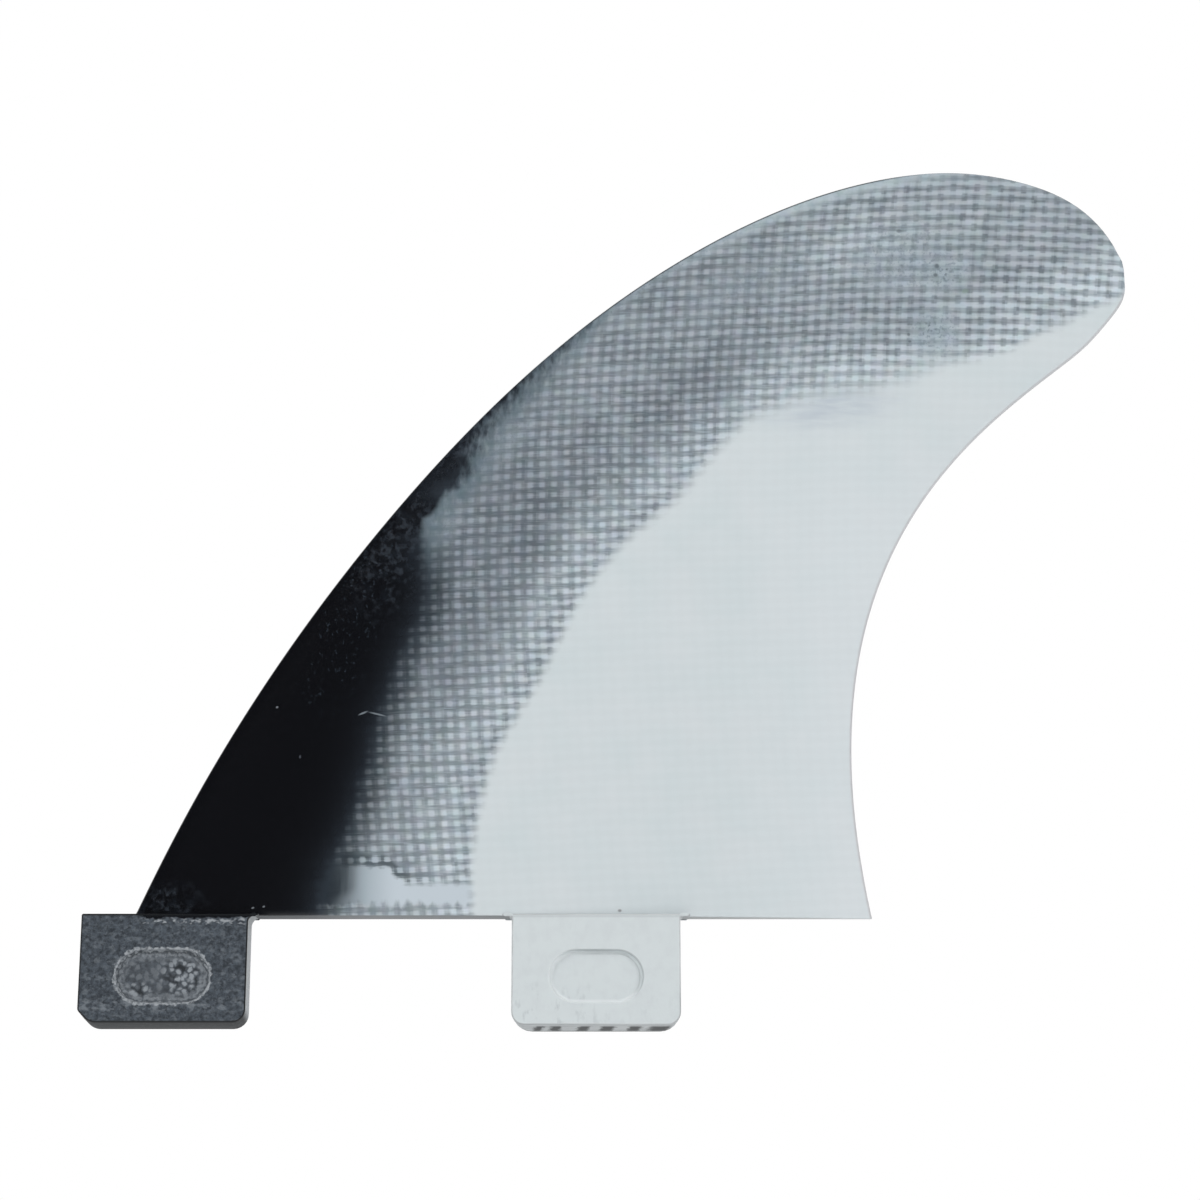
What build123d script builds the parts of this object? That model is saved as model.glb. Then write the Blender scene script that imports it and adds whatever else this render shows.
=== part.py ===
# Surfboard fin, side position: a one-piece glass laminate blade with two plug-in tabs.
# Millimetres. X runs along the root chord (leading edge at -X, trailing edge at +X), Z up the
# depth of the blade, Y through its thickness. The foiled outside faces -Y, the flat inside +Y.
# The origin is on the seat, the underside of the root, midway between the two tabs.

import os
from math import cos, pi, radians, sin, tan

from build123d import *

os.makedirs("parts", exist_ok=True)

# Blade outline
blade_depth = 128.2  # seat to the highest point of the tip
root_front = -40.9  # where the leading edge meets the seat
root_rear = 80.5  # where the trailing edge meets the seat
tip_reach = 166.3  # leading edge foot to the nose of the tip, along X
nose_height = 109.6  # height of the tip's rearmost point
foot_rake = 24.0  # lean of the leading edge from upright, at the seat
heel_rake = 12.0  # lean of the trailing edge the other way, at the seat
root_allowance = 2.0  # blade below the seat plane, trimmed off flush

# Foil
root_thickness = 6.65
inside_y = 3.35  # the flat inside face
leading_land = 0.7  # width of the thin edge left all round the outline
thickest_at = 0.36  # of the chord, from the leading edge
nose_power = 0.5  # 0.5 gives the round nose of a foil
taper_power = 0.72  # how the thickness runs out toward the tip
tip_end = 0.992  # share of the outline where the last foil section stands

# Tabs
tab_thickness = 6.35  # quarter of an inch
tab_pitch = 70.0  # front edge to front edge
front_tab_length = 27.1
rear_tab_length = 27.4
tab_gap = tab_pitch - front_tab_length
front_tab_depth = 17.9
rear_tab_depth = 18.3
tab_cant = 6.5  # the tabs lean toward the outside by this angle, so the blade stands canted
tab_corner = 2.1
front_corner_cut = 2.0
shoulder_rise = 0.3  # height of the tabs' upper edge over the seat
front_tab_fillet = 1.2
rear_tab_fillet = 0.6

# Oval pockets for the plug screws, on both faces of each tab
pocket_length = 15.2
pocket_height = 8.6
pocket_depth = 0.8
pocket_drop = 10.0  # seat to pocket centre, down the tab
pocket_wall = 25.0  # slope of the pocket's wall, from square

# The outline, in the plane of the blade
nose = Vector(root_front + tip_reach, 0, nose_height)


def up_front(along, up):
    """A point of the leading edge, as shares of the tip's reach and of the depth."""
    return Vector(root_front + along * tip_reach, 0, up * blade_depth)


def up_rear(along, up):
    """A point of the trailing edge, as shares of the tip's overhang and of the nose's height."""
    return Vector(root_rear + along * (nose.X - root_rear), 0, up * nose_height)


leading_curve = Edge.make_spline(
    [
        Vector(root_front - root_allowance * tan(radians(foot_rake)), 0, -root_allowance),
        up_front(0.057, 0.1526),
        up_front(0.1436, 0.3415),
        up_front(0.2525, 0.5333),
        up_front(0.3931, 0.7288),
        up_front(0.5646, 0.8941),
        up_front(0.7299, 0.9844),
        up_front(0.8292, 1.0),
        up_front(0.9124, 0.9799),
        up_front(0.9687, 0.9356),
        up_front(0.9922, 0.8947),
        nose,
    ],
    tangents=[Vector(sin(radians(foot_rake)), 0, cos(radians(foot_rake))), Vector(0, 0, -1)],
)
trailing_curve = Edge.make_spline(
    [
        Vector(root_rear + root_allowance * tan(radians(heel_rake)), 0, -root_allowance),
        up_rear(-0.0661, 0.2336),
        up_rear(-0.0102, 0.437),
        up_rear(0.1586, 0.6057),
        up_rear(0.4586, 0.7574),
        up_rear(0.7394, 0.8531),
        up_rear(0.8519, 0.8917),
        up_rear(0.971, 0.9498),
        nose,
    ],
    tangents=[Vector(-sin(radians(heel_rake)), 0, cos(radians(heel_rake))), Vector(0, 0, 1)],
)

thin_power = nose_power * (1 - thickest_at) / thickest_at


def foil(u):
    """Height of the foil over its edges at chord share u, 1 at the thickest place."""
    return (u / thickest_at) ** nose_power * ((1 - u) / (1 - thickest_at)) ** thin_power


def skin_point(u, s):
    """A point of the foiled face: chord share u on the section at share s of the outline."""
    front = leading_curve.position_at(s)
    rear = trailing_curve.position_at(s)
    place = front + (rear - front) * u
    rise = (root_thickness - leading_land) * (1 - s) ** taper_power
    return Vector(place.X, inside_y - leading_land - rise * foil(u), place.Z)


chordwise = [(1 - cos(pi * k / 20)) / 2 for k in range(21)]
spanwise = [tip_end * k / 30 for k in range(31)]
foiled_face = Face.make_surface_from_array_of_points(
    [[skin_point(u, s) for u in chordwise] for s in spanwise], tol=0.01
)

with BuildPart() as blade:
    extrude(foiled_face, amount=3 * root_thickness, dir=(0, 1, 0))
    split(bisect_by=Plane.XZ.offset(-inside_y), keep=Keep.TOP)
    split(bisect_by=Plane.XY, keep=Keep.TOP)

# The tabs stand in a plane that leans by the cant about the seat's long axis
tab_plane = Plane(origin=(0, 0, 0), x_dir=(1, 0, 0), z_dir=(0, -cos(radians(tab_cant)), sin(radians(tab_cant))))
front_tab_x = -tab_gap / 2 - front_tab_length / 2
rear_tab_x = tab_gap / 2 + rear_tab_length / 2
tab_root = 2.0  # tab material drawn above the seat, trimmed at the shoulder

with BuildPart() as fin:
    # Tab profiles, seen square on to the tabs
    with BuildSketch(tab_plane):
        with BuildSketch(Plane.XY) as front_profile:
            with Locations((front_tab_x, tab_root)):
                Rectangle(front_tab_length, front_tab_depth + tab_root, align=(Align.CENTER, Align.MAX))
            ends = front_profile.vertices().group_by(Axis.Y)[0].sort_by(Axis.X)
            chamfer(ends[0], front_corner_cut)
            fillet(ends[1], tab_corner)
        with BuildSketch(Plane.XY) as rear_profile:
            with Locations((rear_tab_x, tab_root)):
                Rectangle(rear_tab_length, rear_tab_depth + tab_root, align=(Align.CENTER, Align.MAX))
            fillet(rear_profile.vertices().group_by(Axis.Y)[0], tab_corner)
        add(front_profile.sketch)
        add(rear_profile.sketch)
    extrude(amount=tab_thickness / 2, both=True)
    split(bisect_by=Plane.XY.offset(shoulder_rise), keep=Keep.BOTTOM)

    add(blade.part)

    # Rounded inner corners where the tabs leave the seat
    corners = fin.edges().filter_by(Axis.Y).filter_by_position(Axis.Z, -0.01, 0.01).sort_by(Axis.X)
    fillet(corners[0], front_tab_fillet)
    corners = fin.edges().filter_by(Axis.Y).filter_by_position(Axis.Z, -0.01, 0.01)
    fillet(corners.filter_by_position(Axis.X, 0, root_rear), rear_tab_fillet)

    # Pockets
    for side in (1, -1):
        with BuildSketch(tab_plane.offset(side * tab_thickness / 2)):
            with Locations((front_tab_x, -pocket_drop), (rear_tab_x, -pocket_drop)):
                SlotOverall(pocket_length, pocket_height)
        extrude(amount=-side * pocket_depth, taper=pocket_wall, mode=Mode.SUBTRACT)

fin.part.label = "fin"
export_step(fin.part, "parts/fin.step")
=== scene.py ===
# Looks of a surfboard side fin: glass cloth laid by hand over a black and a white core, under
# polished resin, with two sanded plug-in tabs. The scene is in metres, and the sizes below are
# millimetres times MM. X runs along the root chord, Z up the blade, and the foiled face is at -Y.

from functools import partial
from math import cos, pi, radians, sin, tan

import bmesh
import bpy
import numpy as np
from bpy.props import FloatProperty, FloatVectorProperty, PointerProperty
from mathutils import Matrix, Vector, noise


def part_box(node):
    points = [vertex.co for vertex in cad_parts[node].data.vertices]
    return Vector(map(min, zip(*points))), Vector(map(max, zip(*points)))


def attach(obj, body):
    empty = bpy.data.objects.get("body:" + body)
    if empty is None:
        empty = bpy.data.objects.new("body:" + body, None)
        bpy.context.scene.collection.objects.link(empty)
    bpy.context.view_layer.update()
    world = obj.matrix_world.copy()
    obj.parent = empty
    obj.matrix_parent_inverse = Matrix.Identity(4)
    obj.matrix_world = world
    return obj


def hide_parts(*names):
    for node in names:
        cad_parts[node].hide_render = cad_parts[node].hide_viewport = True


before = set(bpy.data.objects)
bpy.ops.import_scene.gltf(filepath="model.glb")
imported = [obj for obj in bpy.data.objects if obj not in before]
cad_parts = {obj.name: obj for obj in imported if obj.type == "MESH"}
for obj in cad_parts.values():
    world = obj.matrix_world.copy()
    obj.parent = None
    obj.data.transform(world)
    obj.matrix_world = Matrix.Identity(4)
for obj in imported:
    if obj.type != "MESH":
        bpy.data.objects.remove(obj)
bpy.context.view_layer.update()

bl_info = {
    "name": "Surfboard side fin",
    "version": (1, 0, 0),
    "blender": (4, 5, 0),
    "location": "View3D > Sidebar > Fin",
    "description": "Makes the finished laminate fin around its CAD solid, and the stage it is seen on",
    "category": "Object",
}

MM = 0.001
FIN_NODE = "fin"
FIN_LOW, FIN_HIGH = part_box(FIN_NODE)


def linear(hex_colour):
    """A written sRGB colour as the linear values that Blender works in, with alpha 1."""
    parts = [int(hex_colour[i : i + 2], 16) / 255 for i in (1, 3, 5)]
    return tuple(c / 12.92 if c <= 0.04045 else ((c + 0.055) / 1.055) ** 2.4 for c in parts) + (1.0,)


def length(name, description, millimetres):
    """A size that a user may change, shown by Blender as a length."""
    return FloatProperty(name=name, description=description, default=millimetres * MM, min=0, unit="LENGTH")


def number(name, description, value, **unit):
    """A plain number, an angle or a place that a user may change."""
    return FloatProperty(name=name, description=description, default=value, **unit)


def colour(name, description, hex_colour):
    """A colour that a user may change."""
    return FloatVectorProperty(
        name=name, description=description, subtype="COLOR", size=4, min=0, max=1, default=linear(hex_colour)
    )


class FinShape(bpy.types.PropertyGroup):
    """Sizes of the blade, the tabs and their pockets."""

    root_thickness: length("Root thickness", "Thickest place of the blade, at the seat", 6.65)
    land: length("Edge thickness", "Thickness of the blade's edge all round", 0.7)
    edge_round: length("Edge rounding", "Rounding of the blade's edge", 0.3)
    seat_round: length("Seat rounding", "Rounding where the blade's faces meet the seat", 0.15)
    thickest_at: number("Thickest at", "Share of the chord from the leading edge", 0.36)
    nose_power: number("Nose power", "0.5 gives a round foil nose", 0.5)
    taper_power: number("Taper power", "How thickness runs out to the tip", 0.72)
    tab_thickness: length("Tab thickness", "Thickness of both tabs", 6.35)
    tab_cant: number("Tab cant", "Lean of the tabs toward the outside", radians(6.5), unit="ROTATION")
    tab_gap: length("Tab gap", "Clear distance between the tabs", 42.9)
    front_tab_length: length("Front tab length", "Front tab along the seat", 27.1)
    rear_tab_length: length("Rear tab length", "Rear tab along the seat", 27.4)
    front_tab_depth: length("Front tab depth", "Seat to the front tab's end", 17.9)
    rear_tab_depth: length("Rear tab depth", "Seat to the rear tab's end", 18.3)
    tab_corner: length("Tab corner", "Radius of the tabs' lower corners", 2.1)
    front_corner_cut: length("Front corner cut", "Chamfer of the front tab's leading corner", 2.0)
    shoulder: length("Shoulder", "Height of the tabs' upper edge over the seat", 0.3)
    front_fillet: length("Front tab fillet", "Inner corner of the front tab at the seat", 1.2)
    rear_fillet: length("Rear tab fillet", "Inner corners of the rear tab at the seat", 0.6)
    tab_round: length("Tab rounding", "Sanded rounding of the tabs' edges", 0.22)
    pocket_length: length("Pocket length", "Oval pocket for the plug screw", 15.2)
    pocket_height: length("Pocket height", "Oval pocket for the plug screw", 8.6)
    pocket_depth: length("Pocket depth", "Depth of the pocket", 0.8)
    pocket_drop: length("Pocket drop", "Seat to the pocket's centre", 10.35)
    pocket_wall: number("Pocket wall", "Slope of the pocket's wall from square", radians(18), unit="ROTATION")


class FinFinish(bpy.types.PropertyGroup):
    """Colours and pattern sizes of the laminate."""

    black_core: colour("Black core", "Pigmented front of the blade under clear resin", "#0D0E12")
    thread_dark: colour("Wetted thread", "Glass thread over the dark core", "#60686F")
    thread_pale: colour("Pale thread", "Glass thread where the white core backs it", "#98A2A8")
    gap_dark: colour("Gap over dark", "Resin-filled gap between threads over the dark core", "#949CA5")
    gap_pale: colour("Gap over white", "Resin-filled gap between threads over the white core", "#D5DFE6")
    haze: colour("Starved resin", "Milky patches where the cloth lies short of resin", "#9FAFB9")
    warp_pitch: length("Warp pitch", "Distance between upright threads", 2.0)
    weft_pitch: length("Weft pitch", "Distance between lengthwise threads", 1.82)
    gloss: number("Resin roughness", "Roughness of the polished resin", 0.22)
    sanded_black: colour("Sanded front tab", "Black laminate after sanding", "#4D555E")
    sanded_white: colour("Sanded rear tab", "White laminate after sanding", "#CDD4D6")


class FinStage(bpy.types.PropertyGroup):
    """Camera and light."""

    camera_x: number("Camera along", "Along the chord", 35.778 * MM, unit="LENGTH")
    camera_y: number("Camera back", "Out from the face", -539.711 * MM, unit="LENGTH")
    camera_z: number("Camera height", "Over the seat", -52.995 * MM, unit="LENGTH")
    camera_rise: number("Camera rise", "Upward tilt of the camera", radians(11.1), unit="ROTATION")
    lens: number("Lens", "Focal length on a 36 mm sensor", 99.005, unit="CAMERA")
    floor_drop: length("Floor", "Distance of the floor below the seat", 150)
    room_light: number("Room light", "Strength of the even light all round", 0.56)


# Mesh helpers, all in millimetres


def cubic_line(points):
    """A function from distance along a smooth line through the points to places on it, and its length."""
    steps = np.linalg.norm(np.diff(points, axis=0), axis=1)
    at = np.concatenate([[0], np.cumsum(steps)])
    count = len(points)
    bend = np.eye(count)
    pull = np.zeros_like(points)
    for i in range(1, count - 1):
        bend[i, i - 1 : i + 2] = steps[i - 1], 2 * (steps[i - 1] + steps[i]), steps[i]
        pull[i] = 6 * ((points[i + 1] - points[i]) / steps[i] - (points[i] - points[i - 1]) / steps[i - 1])
    curl = np.linalg.solve(bend, pull)

    def place(distance):
        i = np.clip(np.searchsorted(at, distance) - 1, 0, count - 2)
        h = steps[i][:, None]
        a = (at[i + 1] - distance)[:, None]
        b = (distance - at[i])[:, None]
        return (
            (curl[i] * a**3 + curl[i + 1] * b**3) / (6 * h)
            + (points[i] / h - curl[i] * h / 6) * a
            + (points[i + 1] / h - curl[i + 1] * h / 6) * b
        )

    return place, at[-1]


SAME_PLACE = 1e-6  # metres between points that count as one


def blade_outline():
    """The blade's outline in X and Z, from the front foot over the nose to the rear foot, read off the CAD
    node's flat inside face."""
    bm = bmesh.new()
    bm.from_mesh(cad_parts[FIN_NODE].data)
    bmesh.ops.remove_doubles(bm, verts=bm.verts, dist=SAME_PLACE)
    flat = max(v.co.y for v in bm.verts)
    inside = {f for f in bm.faces if all(abs(v.co.y - flat) < SAME_PLACE for v in f.verts)}
    rim = {}
    for edge in bm.edges:
        if sum(f in inside for f in edge.link_faces) == 1:
            a, b = edge.verts
            rim.setdefault(a.index, []).append(b.index)
            rim.setdefault(b.index, []).append(a.index)
    bm.verts.ensure_lookup_table()
    at_seat = [i for i in rim if abs(bm.verts[i].co.z) < SAME_PLACE]
    foot = min(at_seat, key=lambda i: bm.verts[i].co.x)
    heel = max(at_seat, key=lambda i: bm.verts[i].co.x)
    walk = [foot, max(rim[foot], key=lambda i: bm.verts[i].co.z)]
    while walk[-1] != heel:
        walk.append(next(i for i in rim[walk[-1]] if i != walk[-2]))
    line = np.array([(bm.verts[i].co.x, bm.verts[i].co.z) for i in walk]) / MM
    bm.free()
    return line, flat / MM


def foil_height(shape, u):
    """Height of the foil over its edges at chord share u, 1 at the thickest place."""
    rear_power = shape.nose_power * (1 - shape.thickest_at) / shape.thickest_at
    u = np.clip(u, 0, 1)
    return (u / shape.thickest_at) ** shape.nose_power * ((1 - u) / (1 - shape.thickest_at)) ** rear_power


def ring_faces(first, second, closed=True):
    """Quads between two rings or rows of vertex numbers of the same count."""
    count = len(first)
    last = count if closed else count - 1
    return [(first[i], first[(i + 1) % count], second[(i + 1) % count], second[i]) for i in range(last)]


def inset(ring, distance):
    """A closed ring of plane points moved square to itself, inward where distance is above 0. The ring
    runs counter-clockwise."""
    before = ring - np.roll(ring, 1, axis=0)
    after = np.roll(ring, -1, axis=0) - ring
    before /= np.linalg.norm(before, axis=1)[:, None]
    after /= np.linalg.norm(after, axis=1)[:, None]
    square = np.stack([-(before[:, 1] + after[:, 1]), before[:, 0] + after[:, 0]], axis=1)
    square /= np.linalg.norm(square, axis=1)[:, None]
    lean = (square * np.stack([-after[:, 1], after[:, 0]], axis=1)).sum(axis=1)
    return ring + square * (np.broadcast_to(distance, len(ring)) / np.maximum(lean, 0.5))[:, None]


def rounded(corners, steps=6):
    """A closed outline with its corners rounded. Each corner is (x, y, radius)."""
    ring = []
    for i, (x, y, radius) in enumerate(corners):
        here = np.array((x, y))
        if radius == 0:
            ring.append(here)
            continue
        back = np.array(corners[i - 1][:2]) - here
        on = np.array(corners[(i + 1) % len(corners)][:2]) - here
        back /= np.linalg.norm(back)
        on /= np.linalg.norm(on)
        half = np.arccos(np.clip(back @ on, -1, 1)) / 2
        centre = here + (back + on) / np.linalg.norm(back + on) * radius / sin(half)
        start = here + back * radius / tan(half) - centre
        end = here + on * radius / tan(half) - centre
        first = np.arctan2(start[1], start[0])
        turn = (np.arctan2(end[1], end[0]) - first + pi) % (2 * pi) - pi
        for k in range(steps + 1):
            angle = first + turn * k / steps
            ring.append(centre + radius * np.array((cos(angle), sin(angle))))
    return np.array(ring)


class Skin:
    """Vertices and faces as they are gathered, with a finish number for each face."""

    def __init__(self):
        self.points = []
        self.faces = []
        self.finish = []

    def add(self, points):
        start = len(self.points)
        self.points.extend(map(tuple, points))
        return list(range(start, len(self.points)))

    def close(self, faces, finish):
        self.faces.extend(faces)
        self.finish.extend([finish] * len(faces))

    def object(self, name, fills, materials):
        """The mesh object. fills are lists of rings that bound a plane face, with their finish."""
        bm = bmesh.new()
        verts = [bm.verts.new(p) for p in self.points]
        for face, finish in zip(self.faces, self.finish):
            bm.faces.new([verts[i] for i in face]).material_index = finish
        for rings, finish in fills:
            edges = []
            for ring in rings:
                for i, j in zip(ring, ring[1:] + ring[:1]):
                    edges.append(bm.edges.get((verts[i], verts[j])) or bm.edges.new((verts[i], verts[j])))
            made = bmesh.ops.triangle_fill(bm, edges=edges, use_beauty=True, use_dissolve=False)
            for item in made["geom"]:
                if isinstance(item, bmesh.types.BMFace):
                    item.material_index = finish
        bmesh.ops.recalc_face_normals(bm, faces=bm.faces)
        mesh = bpy.data.meshes.new(name)
        bm.to_mesh(mesh)
        bm.free()
        for material in materials:
            mesh.materials.append(material)
        made = bpy.data.objects.new(name, mesh)
        bpy.context.scene.collection.objects.link(made)
        return made


# Finish numbers of the fin's faces, in the order of its materials
GLASSED, SEAT, FRONT_SANDED, FRONT_CUT, REAR_SANDED, REAR_CUT = range(6)

BLADE_ROWS = 150
BLADE_COLUMNS = 56
NOSE_HALF = 3.0  # length of the outline on each side of the nose that the last row of the blade takes
OUTLINE_SAMPLES = 4000  # places looked at along the outline to find the nose
SEAT_SHARE = 0.009  # share of the outline that the CAD foil has below the seat


def blade_points(shape):
    """Plane places of the blade's grid and rim, and the place of its flat inside face."""
    line, flat = blade_outline()
    place, total = cubic_line(line)
    dense = np.linspace(0, total, OUTLINE_SAMPLES)
    nose = dense[np.argmax(place(dense)[:, 0])]

    def inward(distance):
        step = 0.02
        ahead = place(np.minimum(distance + step, total)) - place(np.maximum(distance - step, 0))
        ahead /= np.linalg.norm(ahead, axis=1)[:, None]
        return np.stack([ahead[:, 1], -ahead[:, 0]], axis=1)

    up = np.linspace(0, 1, BLADE_ROWS + 1)
    front = up * (nose - NOSE_HALF)
    rear = total - up * (total - nose - NOSE_HALF)
    around = (1 - np.cos(pi * np.linspace(0, 1, BLADE_COLUMNS + 1))) / 2
    arc = nose - NOSE_HALF + around * 2 * NOSE_HALF
    edge = np.concatenate([front, arc[1:-1], rear[::-1]])
    return place, inward, flat, up, around, front, rear, arc, edge


def blade(shape, materials):
    """The blade as one closed skin: foiled outside face, rounded rim, flat inside face and seat."""
    place, inward, flat, up, around, front, rear, arc, edge = blade_points(shape)
    land = shape.land / MM
    radius = shape.edge_round / MM
    seat_radius = shape.seat_round / MM
    run_out = 1 - np.clip(up + SEAT_SHARE * (1 - up), 0, 1)
    rise = (shape.root_thickness / MM - land) * run_out**shape.taper_power
    chord = np.linalg.norm(place(rear) - place(front), axis=1)

    def inside_of(distance, depth):
        """Places at a depth inside the outline. The two feet move along the seat, so that it stays level."""
        found = place(distance) + inward(distance) * depth
        for end in (0, len(distance) - 1):
            if abs(place(distance[end : end + 1])[0, 1]) < 1e-4:
                lean = inward(distance[end : end + 1])[0]
                found[end] = place(distance[end : end + 1])[0] + (depth / lean[0], 0)
        return found

    def front_y(u, row, depth):
        """The foiled face at chord share u, with the rim's rounding."""
        lost = radius - np.sqrt(np.maximum(radius**2 - (radius - np.minimum(depth, radius)) ** 2, 0))
        return flat - land - rise[row] * foil_height(shape, u) + lost

    skin = Skin()
    inner = inside_of(edge, radius)
    inner_front = inner[: BLADE_ROWS + 1]
    inner_rear = inner[::-1][: BLADE_ROWS + 1]
    inner_arc = inner[BLADE_ROWS : BLADE_ROWS + BLADE_COLUMNS + 1]
    foiled = []
    flat_side = []
    for row in range(BLADE_ROWS + 1):
        across = inner_front[row] + (inner_rear[row] - inner_front[row]) * around[:, None]
        straight = inner_arc[0] + (inner_arc[-1] - inner_arc[0]) * around[:, None]
        # the last tenth of the rows bows into the arc round the nose
        across = across + (inner_arc - straight) * max(0, (up[row] - 0.9) / 0.1) ** 2
        share = (radius + around * (chord[row] - 2 * radius)) / chord[row]
        y = front_y(share, row, radius)
        z = across[:, 1] + (seat_radius if row == 0 else 0)
        foiled.append(skin.add(np.stack([across[:, 0], y, z], axis=1)))
        flat_side.append(skin.add(np.stack([across[:, 0], np.full_like(y, flat), z], axis=1)))
    for face in (foiled, flat_side):
        for low, high in zip(face, face[1:]):
            skin.close(ring_faces(low, high, closed=False), GLASSED)

    # The rim runs from the foiled face round the outline to the flat face
    steps = 4
    climb = np.arange(BLADE_ROWS + 1)
    rows = np.concatenate([climb, np.full(BLADE_COLUMNS - 1, BLADE_ROWS), climb[::-1]])
    at_front = np.arange(len(edge)) < len(edge) / 2
    rim = [[r[0] for r in foiled] + foiled[-1][1:-1] + [r[-1] for r in foiled[::-1]]]
    for on_foil, order in ((True, range(steps - 1, -1, -1)), (False, range(steps))):
        for k in order:
            angle = pi / 2 * k / steps
            depth = radius * (1 - cos(angle))
            ring = inside_of(edge, depth)
            if on_foil:
                share = np.where(at_front, depth / chord[rows], 1 - depth / chord[rows])
                y = np.minimum(front_y(share, rows, depth), flat - land / 2)
            else:
                y = np.full(len(edge), flat - radius * (1 - sin(angle)))
            z = ring[:, 1].copy()
            z[[0, -1]] += seat_radius
            rim.append(skin.add(np.stack([ring[:, 0], y, z], axis=1)))
    rim.append([r[0] for r in flat_side] + flat_side[-1][1:-1] + [r[-1] for r in flat_side[::-1]])
    for outer, nearer in zip(rim, rim[1:]):
        skin.close(ring_faces(outer, nearer, closed=False), GLASSED)

    # The seat closes the lowest ring with a small rounding, and a strip inside it
    strip = 0.2
    lowest = (
        foiled[0]
        + [ring[-1] for ring in rim[1:-1]]
        + flat_side[0][::-1]
        + [ring[0] for ring in rim[1:-1]][::-1]
    )
    plane = np.array([skin.points[i][:2] for i in lowest])
    last = lowest
    for k in range(1, 5):
        angle = pi / 2 * min(k, 3) / 3
        moved = inset(plane, seat_radius * (1 - cos(angle)) + (strip if k == 4 else 0))
        height = seat_radius * (1 - sin(angle))
        ring = skin.add(np.column_stack([moved, np.full(len(moved), height)]))
        skin.close(ring_faces(last, ring), GLASSED if k < 4 else SEAT)
        last = ring
    return skin.object("laminate_blade", [([last], SEAT)], materials)


def tab(shape, corners, worn, centre, materials, faces, chips):
    """One tab as a closed skin with rounded edges and an oval pocket on each face. corners are its
    outline in the tab's own plane, worn is how much rounder its lower corners are on the inside face, and
    chips is how far its pockets' rims have broken out."""
    skin = Skin()
    halfway = -5  # corners below this height are the lower ones
    outline = rounded(corners)
    worn_outline = rounded([(x, v, r * worn if v < halfway else r) for x, v, r in corners])
    half = shape.tab_thickness / MM / 2
    radius = shape.tab_round / MM
    cant = shape.tab_cant
    settle = 2.5  # the cant runs out over this height, so that the tab's upper edge is level

    def add(ring, out):
        """Ring points at a distance out of the tab's middle plane, in the blade's frame."""
        x, v = ring[:, 0], ring[:, 1]
        level = np.clip((v + settle) / settle, 0, 1)
        y = v * sin(cant) - out * cos(cant)
        z = v * cos(cant) + out * sin(cant) * (1 - level)
        return skin.add(np.column_stack([x, y, z]))

    steps = 4
    border = 0.25  # flat strip inside the rounding
    layers = [(radius + border, -half)]
    for k in range(steps + 1):
        angle = pi / 2 * k / steps
        layers.append((radius * (1 - sin(angle)), -half + radius * (1 - cos(angle))))
    layers += [(d, -out) for d, out in layers[::-1]]
    rings = []
    for d, out in layers:
        wear = 0.5 - out / half / 2
        rings.append(add(inset(outline + (worn_outline - outline) * wear, d), np.full(len(outline), out)))
    for i, (first, second) in enumerate(zip(rings, rings[1:])):
        flat_ring = i in (0, len(rings) - 2)
        skin.close(ring_faces(first, second), faces[0] if flat_ring else faces[1])

    along, up, depth = shape.pocket_length / MM / 2, shape.pocket_height / MM / 2, shape.pocket_depth / MM
    drop = -shape.pocket_drop / MM
    ends = ((-along, -up), (along, -up), (along, up), (-along, up))
    oval = rounded([(centre + x, drop + v, up) for x, v in ends], steps=12)
    oval = oval[np.linalg.norm(oval - np.roll(oval, 1, axis=0), axis=1) > 1e-6]
    even, around = cubic_line(np.vstack([oval, oval[:1]]))
    rim_points = 120
    oval = even(np.linspace(0, around, rim_points, endpoint=False))
    # The pocket's wall, as reach outward from its rim, depth, and how far a chip moves that place
    slope = tan(shape.pocket_wall)
    wall = [(0.30, 0, 1.0), (0.12, 0, 1.0), (0.03, 0.03, 0.8), (0, 0.12, 0.35), (-0.52 * slope, 0.64, 0)]
    wall += [(-0.6 * slope - past, down, 0) for past, down in ((0.03, 0.73), (0.16, depth), (0.5, depth))]
    fills = []
    for side, outer in ((-1, rings[0]), (1, rings[-1])):
        wander = [
            noise.noise((x * 0.9, v * 0.9, side * 7.0)) + 0.5 * noise.noise((x * 2.7, v * 2.7, 3.0))
            for x, v in oval
        ]
        broken = chips * np.maximum(np.array(wander) + 0.15, 0)
        last = None
        for out, down, share in wall:
            reach = out + broken * share
            ring = add(inset(oval, -reach), np.full(len(oval), side * (half - down)))
            if last:
                skin.close(ring_faces(last, ring), faces[0])
            else:
                fills.append(([outer, ring], faces[0]))
            last = ring
        fills.append(([last], faces[0]))
    return skin.object("laminate_tab", fills, materials)


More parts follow.
